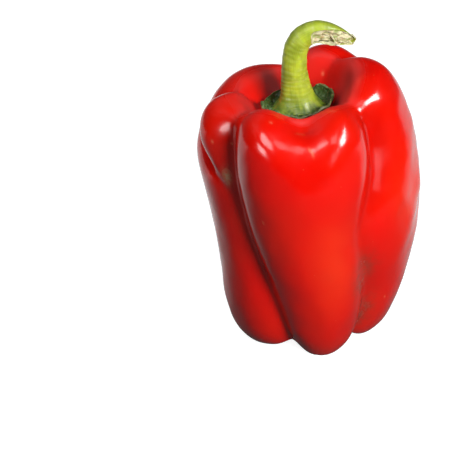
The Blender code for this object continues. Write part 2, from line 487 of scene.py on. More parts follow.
@dataclass(frozen=True)
class Placement:
    """Where the form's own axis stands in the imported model's frame."""

    shift: Point
    sampling: ClassVar[tuple[int, int, int, int]] = (72, 0, 1, 41)

    @classmethod
    def from_frame(cls, form: PepperForm) -> Placement:
        """Centre the form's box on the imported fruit's box.

        Args:
            form: The grown form.

        Returns:
            The placement, in millimetres.
        """
        columns, stations = parameter_grid(*cls.sampling)
        points = form.skin(form.follow_creases(columns, stations), stations).reshape(-1, 3)
        own = (points.min(axis=0) + points.max(axis=0)) / 2
        low, high = (np.array(corner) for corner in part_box("fruit"))
        packed = (low + high) / 2 / MM
        return cls((packed[0] - own[0], packed[1] - own[1], 0.0))

    def to_frame(self, points: Array) -> Array:
        """Millimetres about the form's axis to metres in the frame."""
        return (points + np.array(self.shift)) * MM


# --- shader helpers ---


class Tree:
    """A node tree, built in few words."""

    def __init__(self, tree: NodeTree) -> None:
        """Wrap a tree."""
        self.tree = tree

    def node(self, kind: str, **settings: object) -> Node:
        """Add a node and set its properties.

        Args:
            kind: The node's type.
            settings: Its properties by name.

        Returns:
            The new node.
        """
        made = self.tree.nodes.new(kind)
        for key, value in settings.items():
            setattr(made, key, value)
        return made

    def join(self, target: Socket, value: Socket | float | Numbers) -> None:
        """Link a socket to the target, or set the target to a value.

        Args:
            target: A node's input.
            value: The socket or value that it gets.
        """
        if isinstance(value, Socket):
            self.tree.links.new(value, target)
        else:
            target.default_value = value

    def feed(self, node: Node, **values: Socket | float | Numbers) -> None:
        """Link or set a node's inputs; underscores stand for spaces."""
        for key, value in values.items():
            self.join(node.inputs[key.replace("_", " ")], value)

    def ranged(
        self, value: Socket, low: float | Socket, high: float | Socket, to_low: float = 0.0,
        to_high: float = 1.0,
    ) -> Socket:
        """Smoothly map low..high to to_low..to_high.

        Args:
            value: What is mapped.
            low: Start of its range.
            high: End of its range.
            to_low: Result at low and before it.
            to_high: Result at high and past it.

        Returns:
            The mapped value.
        """
        made = self.node("ShaderNodeMapRange", interpolation_type="SMOOTHSTEP")
        self.feed(made, Value=value, From_Min=low, From_Max=high, To_Min=to_low, To_Max=to_high)
        return made.outputs["Result"]

    def maths(self, operation: str, a: Socket | float, b: Socket | float) -> Socket:
        """One operation on two values.

        Args:
            operation: The operation's name.
            a: First value.
            b: Second value.

        Returns:
            The operation's result.
        """
        made = self.node("ShaderNodeMath", operation=operation)
        for socket, value in zip(made.inputs, (a, b)):
            self.join(socket, value)
        return made.outputs["Value"]

    def times(self, a: Socket, b: Socket | float) -> Socket:
        """Product of two values."""
        return self.maths("MULTIPLY", a, b)

    def plus(self, a: Socket, b: Socket | float) -> Socket:
        """Sum of two values."""
        return self.maths("ADD", a, b)

    def axes(self, place: Socket) -> bpy.types.NodeOutputs:
        """X, Y and Z of a place.

        Args:
            place: A vector socket.

        Returns:
            Its three parts by name.
        """
        made = self.node("ShaderNodeSeparateXYZ")
        self.feed(made, Vector=place)
        return made.outputs


class Shader(Tree):
    """A material's node tree with its Principled shader."""

    def __init__(self, name: str) -> None:
        """Make the material.

        Args:
            name: The finish's name.
        """
        self.material = bpy.data.materials.new(name)
        self.material.use_nodes = True
        super().__init__(self.material.node_tree)
        self.principled = self.tree.nodes["Principled BSDF"]

    def surface(self, **values: Socket | float | Numbers) -> None:
        """Link or set the shader's own sockets; underscores stand for spaces."""
        self.feed(self.principled, **values)

    def place(self) -> Socket:
        """The object's own coordinates."""
        return self.node("ShaderNodeTexCoord").outputs["Object"]

    def mark(self, mark: Mark) -> Socket:
        """A vertex attribute's value."""
        return self.node("ShaderNodeAttribute", attribute_name=mark.value).outputs["Fac"]

    def noise(
        self, scale: float, detail: float = 3.0, roughness: float = 0.5, distortion: float = 0.0,
        place: Socket | None = None,
    ) -> Socket:
        """Noise, in features per metre on the object's coordinates unless placed.

        Args:
            scale: Features per unit of the place.
            detail: How many finer layers are added.
            roughness: How strong the finer layers are.
            distortion: How far the pattern is twisted.
            place: Where it is read, or None for the object's coordinates.

        Returns:
            Noise from 0 to 1.
        """
        made = self.node("ShaderNodeTexNoise")
        self.feed(
            made, Scale=scale, Detail=detail, Roughness=roughness, Distortion=distortion,
            Vector=self.place() if place is None else place,
        )
        return made.outputs["Fac"]

    def mix(self, share: Socket, first: Socket | Color, second: Socket | Color) -> Socket:
        """Mix two colours.

        Args:
            share: 0 for the first colour, 1 for the second.
            first: First colour.
            second: Second colour.

        Returns:
            The mixed colour.
        """
        made = self.node("ShaderNodeMix", data_type="RGBA")
        self.feed(made, Factor=share)
        for socket, value in ((made.inputs[6], first), (made.inputs[7], second)):
            self.join(socket, (*value, 1.0) if isinstance(value, tuple) else value)
        return made.outputs[2]

    def bump(
        self, height: Socket, distance: float, strength: float, onto: Socket | None = None
    ) -> Socket:
        """A bump of the given height in metres, on top of another.

        Args:
            height: Height in shares of the distance.
            distance: Height in metres.
            strength: 0 for none, 1 for all of it.
            onto: Normal of the bump beneath, if any.

        Returns:
            The bumped normal.
        """
        made = self.node("ShaderNodeBump")
        self.feed(made, Distance=distance, Strength=strength, Height=height)
        if onto is not None:
            self.feed(made, Normal=onto)
        return made.outputs["Normal"]

    def group(self, tree: NodeTree, **values: float) -> Node:
        """Place a node group with its own values, on the object's coordinates.

        Args:
            tree: The node group.
            values: Its inputs by name.

        Returns:
            The group's node.
        """
        made = self.node("ShaderNodeGroup", node_tree=tree)
        self.feed(made, Place=self.place(), **values)
        return made


def flecks_group() -> NodeTree:
    """Group of scattered small round flecks, used by every finish.

    The flecks are the cores of Voronoi cells nearer than Size, kept only where a
    cell's own random value is below Amount.

    Returns:
        The node group, with its Fleck output.
    """
    tree = bpy.data.node_groups.new("flecks", "ShaderNodeTree")
    tree.interface.new_socket(name="Place", in_out="INPUT", socket_type="NodeSocketVector")
    for name in ("Scale", "Size", "Amount"):
        tree.interface.new_socket(name=name, in_out="INPUT", socket_type="NodeSocketFloat")
    tree.interface.new_socket(name="Fleck", in_out="OUTPUT", socket_type="NodeSocketFloat")
    t = Tree(tree)
    given = t.node("NodeGroupInput").outputs
    cells = t.node("ShaderNodeTexVoronoi")
    t.feed(cells, Vector=given["Place"], Scale=given["Scale"])
    near = t.ranged(cells.outputs["Distance"], 0.0, given["Size"], 1.0, 0.0)
    drawn = t.node("ShaderNodeSeparateColor")
    t.feed(drawn, Color=cells.outputs["Color"])
    kept = t.maths("LESS_THAN", drawn.outputs["Red"], given["Amount"])
    t.feed(t.node("NodeGroupOutput"), Fleck=t.times(near, kept))
    return tree


# --- finishes ---


@dataclass(frozen=True)
class SkinFinish:
    """Glossy waxy red skin with faint flecks, brown patches and small scars."""

    red: Color = (0.86, 0.004, 0.001)
    orange_red: Color = (0.93, 0.03, 0.006)
    deep_red: Color = (0.34, 0.003, 0.002)
    brown: Color = (0.27, 0.06, 0.035)
    tan: Color = (0.60, 0.36, 0.20)
    fleck: Color = (0.95, 0.20, 0.10)

    def build(self, flecks: NodeTree) -> Material:
        """Make the material: its gloss fades out on the crown around the calyx.

        Args:
            flecks: The fleck group.

        Returns:
            The skin's material.
        """
        s = Shader("pepper_skin")
        cloud = s.ranged(s.noise(34.0, 2.0, 0.5, 0.4), 0.35, 0.68)
        blush = s.times(s.mark(Mark.BLUSH), s.ranged(cloud, 0.0, 1.0, 0.55, 1.0))
        blush = s.maths("MAXIMUM", blush, s.times(cloud, 0.22))
        color = s.mix(blush, self.red, self.orange_red)
        shade = s.times(s.mark(Mark.SHADE), s.ranged(s.noise(60.0, 2.0), 0.2, 0.7, 0.05, 0.25))
        color = s.mix(shade, color, self.deep_red)
        # painted shade: the skin is darkened towards deep red in its deeper creases
        color = s.mix(s.times(s.mark(Mark.CREASE_SHADE), 0.3), color, self.deep_red)
        dots = s.group(flecks, Scale=230.0, Size=0.075, Amount=0.22).outputs["Fleck"]
        color = s.mix(s.times(dots, 0.35), color, self.fleck)
        mottled = s.ranged(s.noise(300.0, 4.0, 0.62), 0.36, 0.62, 0.35, 0.8)
        bruise = s.times(s.mark(Mark.BRUISE), mottled)
        color = s.mix(bruise, color, self.brown)
        scar = s.times(s.mark(Mark.SCAR), s.ranged(s.noise(900.0, 3.0), 0.3, 0.6, 0.5, 1.0))
        color = s.mix(scar, color, self.tan)
        nick = s.mark(Mark.NICK)
        color = s.mix(s.times(nick, 0.8), color, self.fleck)
        rough = s.ranged(s.noise(150.0, 3.0), 0.3, 0.7, 0.17, 0.23)
        for mark, more in ((scar, 0.35), (bruise, 0.1), (s.mark(Mark.SHADE), 0.75)):
            rough = s.plus(rough, s.times(mark, more))
        normal = s.bump(s.noise(240.0, 3.0, 0.5), 0.00016, 0.3)
        normal = s.bump(s.noise(1900.0, 2.0, 0.5), 0.00002, 0.3, normal)
        normal = s.bump(s.plus(dots, nick), 0.00005, 0.5, normal)
        coat = s.ranged(s.mark(Mark.SHADE), 0.0, 1.0, 0.35, 0.0)
        s.surface(Base_Color=color, Roughness=rough, Normal=normal, Coat_Weight=coat)
        s.surface(IOR=1.5, Coat_Roughness=0.09, Coat_IOR=1.5)
        s.surface(Subsurface_Weight=0.1, Subsurface_Scale=0.002, Subsurface_Radius=(1.0, 0.15, 0.08))
        return s.material


@dataclass(frozen=True)
class CalyxFinish:
    """Rough dark green leathery cap with paler veins and rim."""

    dark: Color = (0.012, 0.032, 0.007)
    green: Color = (0.055, 0.12, 0.02)
    vein: Color = (0.11, 0.19, 0.05)
    pale: Color = (0.24, 0.32, 0.13)

    def build(self, flecks: NodeTree) -> Material:
        """Make the material.

        Args:
            flecks: The fleck group.

        Returns:
            The calyx's material.
        """
        s = Shader("calyx_rind")
        lumps = s.ranged(s.noise(430.0, 4.0, 0.6, 0.3), 0.36, 0.66)
        color = s.mix(lumps, self.dark, self.green)
        color = s.mix(s.times(s.mark(Mark.VEIN), 0.55), color, self.vein)
        dots = s.group(flecks, Scale=900.0, Size=0.22, Amount=0.35).outputs["Fleck"]
        color = s.mix(s.times(dots, 0.3), color, self.pale)
        rim = s.times(s.mark(Mark.RIM), s.ranged(s.noise(420.0, 3.0), 0.35, 0.62, 0.1, 0.95))
        color = s.mix(rim, color, self.pale)
        normal = s.bump(s.noise(800.0, 4.0, 0.6), 0.0006, 0.6)
        normal = s.bump(dots, 0.0001, 0.5, normal)
        s.surface(Base_Color=color, Roughness=s.ranged(lumps, 0.0, 1.0, 0.5, 0.34), Normal=normal)
        s.surface(IOR=1.45, Coat_Weight=0.15, Coat_Roughness=0.25)
        return s.material


@dataclass(frozen=True)
class StemFinish:
    """Satin yellow-green stalk, darker at its foot, with faint rings and streaks."""

    bright: Color = (0.55, 0.66, 0.04)
    olive: Color = (0.34, 0.43, 0.03)
    shaded: Color = (0.13, 0.22, 0.03)
    foot: Color = (0.06, 0.15, 0.012)
    pale: Color = (0.66, 0.74, 0.26)
    brown: Color = (0.25, 0.17, 0.06)

    def build(self, flecks: NodeTree) -> Material:
        """Make the material.

        Args:
            flecks: The fleck group.

        Returns:
            The stem's material.
        """
        s = Shader("stem_rind")
        along = s.mark(Mark.ALONG)
        color = s.mix(s.ranged(s.noise(190.0, 3.0, 0.55), 0.35, 0.66), self.olive, self.bright)
        rings = self.stretched(s, 1.6, 58.0)
        ring = s.ranged(rings, 0.45, 0.66)
        color = s.mix(s.times(ring, 0.22), color, self.pale)
        streaks = self.stretched(s, 24.0, 5.0)
        color = s.mix(s.times(s.ranged(streaks, 0.48, 0.72), 0.4), color, self.olive)
        ribs = s.ranged(self.stretched(s, 9.0, 7.0), 0.4, 0.62, 0.5, 1.0)
        color = s.mix(s.times(s.ranged(along, 0.12, 0.36, 0.95, 0.0), ribs), color, self.foot)
        color = s.mix(s.ranged(along, 0.55, 0.8, 0.0, 0.5), color, self.olive)
        color = s.mix(s.times(s.mark(Mark.SHADE), 0.55), color, self.shaded)
        edge = s.times(s.ranged(s.mark(Mark.CUT), 0.02, 0.3), 0.6)
        color = s.mix(edge, color, self.brown)
        dots = s.group(flecks, Scale=380.0, Size=0.1, Amount=0.25).outputs["Fleck"]
        color = s.mix(s.times(dots, 0.35), color, self.brown)
        normal = s.bump(rings, 0.0002, 0.5)
        normal = s.bump(streaks, 0.00025, 0.5, normal)
        normal = s.bump(s.noise(1500.0, 3.0), 0.00006, 0.5, normal)
        s.surface(Base_Color=color, Roughness=s.ranged(ring, 0.0, 1.0, 0.38, 0.3), Normal=normal)
        s.surface(IOR=1.45, Coat_Weight=0.15, Coat_Roughness=0.2)
        s.surface(Subsurface_Weight=0.1, Subsurface_Scale=0.002, Subsurface_Radius=(0.6, 1.0, 0.15))
        return s.material

    @staticmethod
    def stretched(s: Shader, across: float, length: float) -> Socket:
        """Noise stretched on the stalk: so many features around it and along it.

        Args:
            s: The stalk's shader.
            across: Features around the stalk.
            length: Features along the stalk.

        Returns:
            Noise from 0 to 1.
        """
        place = s.node("ShaderNodeCombineXYZ")
        s.feed(place, X=s.times(s.mark(Mark.AROUND), across), Y=s.times(s.mark(Mark.ALONG), length))
        return s.noise(1.0, 4.0, place=place.outputs["Vector"])


@dataclass(frozen=True)
class PithFinish:
    """Pale fibrous inside of the torn stem."""

    cream: Color = (0.82, 0.78, 0.50)
    green: Color = (0.36, 0.43, 0.12)
    pink: Color = (0.62, 0.36, 0.20)
    # colour of the painted shade in the torn face's low places
    dark: Color = (0.06, 0.08, 0.02)
    threads: Point = (160.0, 1000.0, 800.0)

    def build(self, flecks: NodeTree) -> Material:
        """Make the material.

        Args:
            flecks: The fleck group.

        Returns:
            The torn face's material.
        """
        s = Shader("stem_pith")
        stretch = s.node("ShaderNodeMapping")
        s.feed(stretch, Vector=s.place(), Scale=self.threads)
        threads = s.noise(1.0, 4.0, place=stretch.outputs["Vector"])
        thread = s.ranged(threads, 0.36, 0.58)
        color = s.mix(thread, self.green, self.cream)
        color = s.mix(s.ranged(s.noise(700.0, 2.0), 0.56, 0.7, 0.0, 0.6), color, self.pink)
        dots = s.group(flecks, Scale=1200.0, Size=0.25, Amount=0.3).outputs["Fleck"]
        color = s.mix(s.times(dots, 0.3), color, self.green)
        # painted shade: the torn face's low places are darkened nearly to black
        color = s.mix(s.times(s.mark(Mark.SLIT_SHADE), 0.85), color, self.dark)
        s.surface(Base_Color=color, Roughness=s.ranged(thread, 0.0, 1.0, 0.6, 0.45))
        s.surface(Normal=s.bump(threads, 0.0004, 0.7), IOR=1.42)
        return s.material


# --- the pieces ---


@dataclass(frozen=True)
class Blemish:
    """A soft mark on the skin: where it lies on the fruit and how far it spreads."""

    azimuth: float
    station: float
    spread_around: float
    spread_down: float

    def mask(self, azimuth: Array, station: Array) -> Array:
        """Mark of 1 at its middle: exp of minus the squared offsets over the spreads.

        Args:
            azimuth: Angles in radians.
            station: Shares of the outline's length.

        Returns:
            The mark at each point.
        """
        around = angle_gap(azimuth, math.radians(self.azimuth)) / math.radians(self.spread_around)
        down = (station - self.station) / self.spread_down
        return np.exp(-(around**2) - down**2)


@dataclass(frozen=True)
class Fruit:
    """The lobed fruit with its gently uneven skin and its marks."""

    form: PepperForm
    placement: Placement
    columns: int = 420
    rows: int = 231
    ripple: WaveField = WaveField(9, 24, 26, 11)
    dimples: WaveField = WaveField(4.5, 9, 30, 12)
    ripple_height: float = 0.14
    dimple_height: float = 0.025
    uneven_side: Blemish = Blemish(350, 0.42, 30, 0.16)
    bruises: tuple[Blemish, ...] = (Blemish(306, 0.62, 8, 0.06), Blemish(316, 0.74, 8, 0.06))
    blushes: tuple[Blemish, ...] = (
        Blemish(285, 0.55, 16, 0.13), Blemish(340, 0.5, 18, 0.14), Blemish(120, 0.5, 30, 0.2),
    )
    scars: tuple[Blemish, ...] = (Blemish(352, 0.575, 1.2, 0.012), Blemish(212, 0.385, 2.6, 0.018))
    nicks: tuple[Blemish, ...] = (
        Blemish(275.4, 0.291, 0.5, 0.008), Blemish(274, 0.283, 0.35, 0.005),
        Blemish(250, 0.204, 0.8, 0.0035), Blemish(57, 0.109, 1.6, 0.003),
        Blemish(203, 0.3, 0.7, 0.004), Blemish(214, 0.29, 0.5, 0.004),
        Blemish(246, 0.45, 0.5, 0.003), Blemish(330, 0.7, 0.5, 0.003),
    )
    uneven_extra: float = 1.3
    scar_depth: float = 0.15
    nick_depth: float = 0.08
    crease_shade_depth: float = 5.0
    crown_end: float = 0.19

    def grid(self) -> Grid:
        """Points of the skin and its marks.

        The grown form is raised along its normal by two wave fields, a long ripple
        and small dimples, stronger on the uneven side. They fade at the feet and
        under the calyx. Scars and nicks sink in.

        Returns:
            The closed grid, in metres.
        """
        column, station = parameter_grid(self.columns, 0, 1, self.rows)
        azimuth = self.form.follow_creases(column, station)
        smooth = self.form.skin(azimuth, station)
        calm = smooth_step((station - 0.08) / 0.08) * smooth_step((0.93 - station) / 0.08)
        strength = 1 + self.uneven_extra * self.uneven_side.mask(azimuth, station)
        lift = self.ripple_height * self.ripple.at(smooth) + self.dimple_height * self.dimples.at(smooth)
        scars, nicks = (self.spread(marks, azimuth, station) for marks in (self.scars, self.nicks))
        lift = lift * calm * strength - self.scar_depth * scars - self.nick_depth * nicks
        marks = {
            # painted shade in the creases: 0 up to the given depth, 1 at twice that depth
            Mark.CREASE_SHADE: smooth_step(
                self.form.crease_depth(azimuth, station) / self.crease_shade_depth - 1
            ),
            Mark.BRUISE: self.spread(self.bruises, azimuth, station),
            Mark.BLUSH: self.spread(self.blushes, azimuth, station),
            Mark.SCAR: scars,
            Mark.NICK: nicks,
            Mark.SHADE: smooth_step((self.crown_end - station) / 0.07),
        }
        return Grid(self.placement.to_frame(self.form.skin(azimuth, station, lift=lift)), marks)

    @staticmethod
    def spread(blemishes: tuple[Blemish, ...], azimuth: Array, station: Array) -> Array:
        """The strongest of several soft marks at each point."""
        return np.max([blemish.mask(azimuth, station) for blemish in blemishes], axis=0)

    def build(self, flecks: NodeTree) -> list[Piece]:
        """Build and dress the fruit.

        Args:
            flecks: The fleck group.

        Returns:
            The fruit, as a list of one piece.
        """
        piece = closed_surface("fruit_skin", [self.grid()], SkinFinish().build(flecks))
        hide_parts("fruit")
        return [piece]


@dataclass(frozen=True)
class Calyx:
    """The toothed cap around the stem's foot, rough and veined, with a raised rim."""

    form: PepperForm
    placement: Placement
    columns: int = 400
    rows: int = 181
    radius: float = 13.2
    gap: float = 0.12
    thickness: float = 1.7
    rim_thickness: float = 0.75
    curl: float = 1.7
    reach_waver: float = 0.28
    curl_waver: float = 0.4
    crease_share: float = 0.5
    teeth: Bumps = (
        (8, 2.6, 16), (44, 2.4, 14), (88, 1.6, 16), (132, 2.4, 13), (181, 3.0, 15), (224, 2.0, 13),
        (268, 1.6, 15), (316, 2.4, 13),
    )
    tooth_lift: float = 0.35
    lumps: WaveField = WaveField(1.4, 3.2, 40, 21)
    lump_height: float = 0.3
    edge_waver: WaveField = WaveField(3.5, 8, 24, 22)
    vein_height: float = 0.35

    def grid(self) -> Grid:
        """Points of the cap with its rim and vein marks.

        A row parameter runs from the top's centre, over the rim, to the underside's
        centre. Reach is the radius plus a bump for each tooth. The cap follows the
        skin with its creases less deep, raised by its gap, half its thickness
        and a curl that grows towards the rim. The upper side carries lumps and one
        vein towards each tooth.

        Returns:
            The closed grid, in metres.
        """
        azimuth, way = parameter_grid(self.columns, 0, 2, self.rows)
        outward = 1 - np.abs(way - 1)
        circle = np.stack([15 * np.cos(azimuth), 15 * np.sin(azimuth), 0 * azimuth], axis=-1)
        waver = self.edge_waver.at(circle)
        tooth = ring_bumps(azimuth, self.teeth)
        reach = self.radius + tooth + self.reach_waver * waver
        stations = np.linspace(0, 0.25, 600)
        station = np.interp(reach * outward, self.form.outline_point(stations)[0], stations)
        thickness = self.thickness + (self.rim_thickness - self.thickness) * outward**2
        edge = np.sqrt(1 - np.clip((outward - 0.95) / 0.05, 0, 1) ** 2)
        curl = self.curl + self.tooth_lift * tooth + self.curl_waver * waver
        curl = curl * smooth_step((outward - 0.66) / 0.34)
        upper = np.where(way < 1, 1.0, 0.0)
        rough = smooth_step((outward - 0.4) / 0.2) * (0.2 + 0.8 * upper)
        flat = self.form.skin(azimuth, station, self.crease_share)
        vein = np.clip(tooth / 2.0, 0, 1) ** 4 * smooth_step((outward - 0.4) / 0.3) * upper
        lift = self.gap + thickness / 2 + curl + (upper - 0.5) * thickness * edge
        lift = lift + (rough * self.lump_height * self.lumps.at(flat) + self.vein_height * vein) * edge
        marks = {Mark.RIM: smooth_step((outward - 0.94) / 0.05), Mark.VEIN: vein}
        points = self.form.skin(azimuth, station, self.crease_share, lift)
        return Grid(self.placement.to_frame(points), marks)

    def build(self, flecks: NodeTree) -> list[Piece]:
        """Build and dress the calyx.

        Args:
            flecks: The fleck group.

        Returns:
            The calyx, as a list of one piece.
        """
        piece = closed_surface("calyx_cap", [self.grid()], CalyxFinish().build(flecks))
        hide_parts("calyx")
        return [piece]


@dataclass(frozen=True)
class Stem:
    """The curved stalk: ribs and rings, a flared foot and a torn slanting end."""

    form: PepperForm
    placement: Placement
    columns: int = 200
    rows: int = 421
    line: tuple[Pair, ...] = (
        (0, 1.7), (0, 2.6), (0, 5.4), (-0.2, 10.5), (-0.3, 16.0), (0.3, 21.6), (2.4, 27.9), (8.8, 30.4),
        (13.6, 28.5), (17.6, 26.4), (22.6, 23.6),
    )
    radii: Numbers = (9.2, 8.2, 6.3, 5.2, 4.6, 4.4, 4.1, 4.0, 4.0, 3.5, 1.5)
    foot_ribs: Bumps = (
        (195, 1.5, 9), (245, 0.4, 12), (300, 0.7, 12), (345, 1.3, 9), (60, 0.9, 7), (130, 1.0, 8),
    )
    cut_point: Point = (7.6, -2.75, 28.9)
    cut_normal: Point = (0.12, -0.90, -0.40)
    cut_start: float = 6.6
    knots: WaveField = WaveField(3, 8, 30, 32)
    knot_height: float = 0.07
    rings: float = 230.0
    ring_height: float = 0.035
    ragged: WaveField = WaveField(1.1, 3.2, 36, 31)
    ragged_height: float = 0.5
    scoop: float = 0.5
    pith_from: float = 0.45
    shaded_side: float = 355.0

    def centre(self, share: Array) -> tuple[Array, Array]:
        """Centre line and its direction at a share of the stalk's length.

        Args:
            share: Shares of the length, 0 at the foot.

        Returns:
            Points across and up, and unit steps along the line.
        """
        step = 1e-3
        line = np.array(self.line)
        before, after = (b_spline(line, np.clip(share + k, 0, 1)) for k in (-step, step))
        ahead = after - before
        return b_spline(line, share), ahead / np.linalg.norm(ahead, axis=-1, keepdims=True)

    def grid(self) -> Grid:
        """Points of the stalk and its marks.

        Rings of the tapering radius stand square to the centre line. The radius
        carries a rounded rib for each of foot_ribs that fades out upwards, a
        shallow five-sided swell, fine rings along the line and slow knots. Points
        beyond the slanting cut are pressed back onto it, with a ragged field added
        across the torn face.

        Returns:
            The closed grid, in metres.
        """
        turn, share = parameter_grid(self.columns, 1, 0, self.rows)
        centre, ahead = self.centre(share)
        foot = 1 - smooth_step(share / 0.24)
        end = np.sqrt(np.clip((1 - share) / 0.012, 0, 1)) * np.sqrt(np.clip(share / 0.004, 0, 1))
        radius = b_spline(self.radii, share) + foot**2 * (ring_bumps(turn, self.foot_ribs) - 0.5)
        radius = radius * (1 + 0.022 * np.cos(5 * turn + 0.6) + 0.02 * np.cos(2 * turn + 1))
        rings = np.sin(share * self.rings + 1.5 * np.cos(turn) + 2.2 * np.cos(share * 31))
        fade = smooth_step((share - 0.1) / 0.2) * (1 - smooth_step((share - 0.55) / 0.2))
        radius = (radius + self.ring_height * rings * fade) * end
        outwards = np.stack(
            [np.cos(turn) * ahead[..., 1], np.sin(turn), -np.cos(turn) * ahead[..., 0]], axis=-1
        )
        middle = np.stack([centre[..., 0], 0 * share, centre[..., 1]], axis=-1)
        upright = middle + radius[..., None] * outwards
        upright += (self.knot_height * self.knots.at(upright) * end)[..., None] * outwards
        reach = smooth_step((upright[..., 0] - self.cut_start) / 1.6)
        reach = reach * smooth_step((share - 0.5) / 0.05)
        upright, cut, slit_shade = self.torn(upright, reach)
        away = np.cos(turn - math.radians(self.shaded_side))
        low = 1 - smooth_step((share - 0.35) / 0.15)
        marks = {
            Mark.ALONG: share,
            Mark.AROUND: (1 + np.cos(turn)) / 2 + 0.25 * np.sin(turn),
            Mark.CUT: cut,
            Mark.SLIT_SHADE: slit_shade,
            Mark.SHADE: smooth_step((-0.45 - away) / 0.5) * low,
        }
        return Grid(self.to_frame(upright), marks)

    def to_frame(self, upright: Array) -> Array:
        """Points above an upright calyx seat, in millimetres, to metres in the frame."""
        leaned = self.form.leaned(upright[..., 0], upright[..., 1], upright[..., 2] + self.form.seat)
        return self.placement.to_frame(leaned)

    def torn(self, points: Array, reach: Array) -> tuple[Array, Array, Array]:
        """Press points back onto the slanting cut.

        The torn face is scooped out by scoop times the sine of its depth and
        roughened by a field stretched along the stalk. Its low places get a mark
        that the pith's finish paints dark as painted shade.

        Args:
            points: The whole stalk, upright, in millimetres.
            reach: 1 where the stalk may be cut, 0 nearer its foot.

        Returns:
            The torn stalk, how much each point lies on the torn face, and its low places' painted shade.
        """
        normal = np.array(self.cut_normal) / np.linalg.norm(self.cut_normal)
        beyond = np.clip((points - np.array(self.cut_point)) @ normal, 0, None) * reach
        face = smooth_step(beyond / 0.4)
        field = self.ragged.at(points * np.array([0.3, 1, 0.8]))
        rough = self.ragged_height * field - self.scoop * smooth_step(beyond / 2.5)
        moved = points - (beyond - rough * face)[..., None] * normal
        return moved, face, face * smooth_step((-field - 0.75) / 0.5)

    def build(self, flecks: NodeTree) -> list[Piece]:
        """Build and dress the stem, then its torn fibres.

        Args:
            flecks: The fleck group.

        Returns:
            The stalk and the fibres.
        """
        grid, pith = self.grid(), PithFinish().build(flecks)
        piece = closed_surface("stem_stalk", [grid], StemFinish().build(flecks), pith)
        self.dress_cut(piece, grid)
        fibres = TornFibres(self).build(pith)
        for part in (piece, fibres):
            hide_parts("stem")
        return [piece, fibres]

    def dress_cut(self, piece: Piece, grid: Grid) -> None:
        """Give the faces on the torn end the pith's material.

        Args:
            piece: The stalk.
            grid: Its grid, with the cut's marks.
        """
        _, loops, sizes, marks = grid.arrays()
        starts = np.cumsum(sizes) - sizes
        slots = marks[Mark.CUT][loops[starts]] > self.pith_from
        piece.data.polygons.foreach_set("material_index", slots.astype(np.int32))


@dataclass(frozen=True)
class StrandKind:
    """Ranges, in millimetres, that one kind of strand is drawn from."""

    share: Pair
    spread: float
    length: Pair
    away: Pair
    forward: float
    sag: float
    thickness: Pair


@dataclass(frozen=True)
class TornFibres:
    """Strands of pith that lie on the torn face, and a few that hang from it."""

    stem: Stem
    hanging: int = 6
    lying: int = 18
    hanging_kind: StrandKind = StrandKind(
        (0.74, 0.8), 1.6, (3.0, 4.4), (0.4, 1.2), 0.6, 0.55, (0.4, 0.75)
    )
    lying_kind: StrandKind = StrandKind(
        (0.7, 0.88), 2.3, (2.4, 4.8), (0.1, 0.4), 1.0, 0.0, (0.22, 0.55)
    )
    flatness: Pair = (0.35, 0.8)
    depth: float = 0.25
    rows: int = 26
    columns: int = 8
    seed: int = 5

    def strand(self, draw: np.random.Generator, kind: StrandKind) -> Grid:
        """One tapering strand that starts inside the stalk.

        Its line runs from a point on the torn face along the stalk, bending and
        sagging by the square of its length. Its radius swells as a power of the
        sine of its length.

        Args:
            draw: The seeded random source.
            kind: What the strand is drawn from.

        Returns:
            The closed grid, in metres.
        """
        stem = self.stem
        normal = np.array(stem.cut_normal) / np.linalg.norm(stem.cut_normal)
        centre, ahead = stem.centre(np.array(draw.uniform(*kind.share)))
        along = np.array([ahead[0], 0.0, ahead[1]])
        along -= normal * (along @ normal)
        along /= np.linalg.norm(along)
        side = np.cross(normal, along)
        start = np.array([centre[0], 0.0, centre[1]])
        start -= normal * ((start - np.array(stem.cut_point)) @ normal + self.depth)
        start += side * draw.uniform(-kind.spread, kind.spread / 2)
        length = draw.uniform(*kind.length)
        bend = draw.normal(0, 0.5, 2)[0]
        away = draw.uniform(*kind.away)
        turn, t = parameter_grid(self.columns, 1, 0, self.rows)
        path = start + (length * kind.forward * t)[..., None] * along + (bend * t**2)[..., None] * side
        path = path + (away * t**1.5)[..., None] * normal
        path = path - (kind.sag * length * t**2)[..., None] * np.array([0.1, 0.0, 1.0])
        radius = draw.uniform(*kind.thickness) * np.sin(math.pi * np.clip(t, 0, 1) ** 0.7) ** 0.6
        flat = draw.uniform(*self.flatness)
        ring = (radius * np.cos(turn))[..., None] * side
        ring = ring + (flat * radius * np.sin(turn))[..., None] * normal
        return Grid(stem.to_frame(path + ring), {Mark.SLIT_SHADE: 0.0 * t})

    def build(self, pith: Material) -> Piece:
        """Build all strands as one piece.

        Args:
            pith: The torn face's material.

        Returns:
            The strands' piece.
        """
        draw = np.random.default_rng(self.seed)
        kinds = [self.hanging_kind] * self.hanging + [self.lying_kind] * self.lying
        return closed_surface("torn_fibres", [self.strand(draw, kind) for kind in kinds], pith)


# --- the studio ---


class LightUse(Enum):
    """What a light is for: to be mirrored in the skin, or to shade it."""

    HIGHLIGHTS = "highlights"
    SHADING = "shading"


@dataclass(frozen=True)
class Softbox:
    """A square area light that looks at the pepper's middle."""

    name: str
    azimuth: float
    elevation: float
    distance: float
    size: float
    watts: float
    use: LightUse

    def build(self, target: Vector) -> None:
        """Hang the light.

        Args:
            target: The point that it looks at.
        """
        turn, rise = math.radians(self.azimuth), math.radians(self.elevation)
        away = Vector(
            (math.cos(turn) * math.cos(rise), math.sin(turn) * math.cos(rise), math.sin(rise))
        )
        lamp = bpy.data.lights.new(self.name, "AREA")
        lamp.size = self.size
        lamp.energy = self.watts
        holder = bpy.data.objects.new(self.name, lamp)
        holder.location = target + away * self.distance
        holder.rotation_euler = (-away).to_track_quat("-Z", "Y").to_euler()
        holder.visible_glossy = self.use is LightUse.HIGHLIGHTS
        holder.visible_diffuse = self.use is LightUse.SHADING
        bpy.context.scene.collection.objects.link(holder)


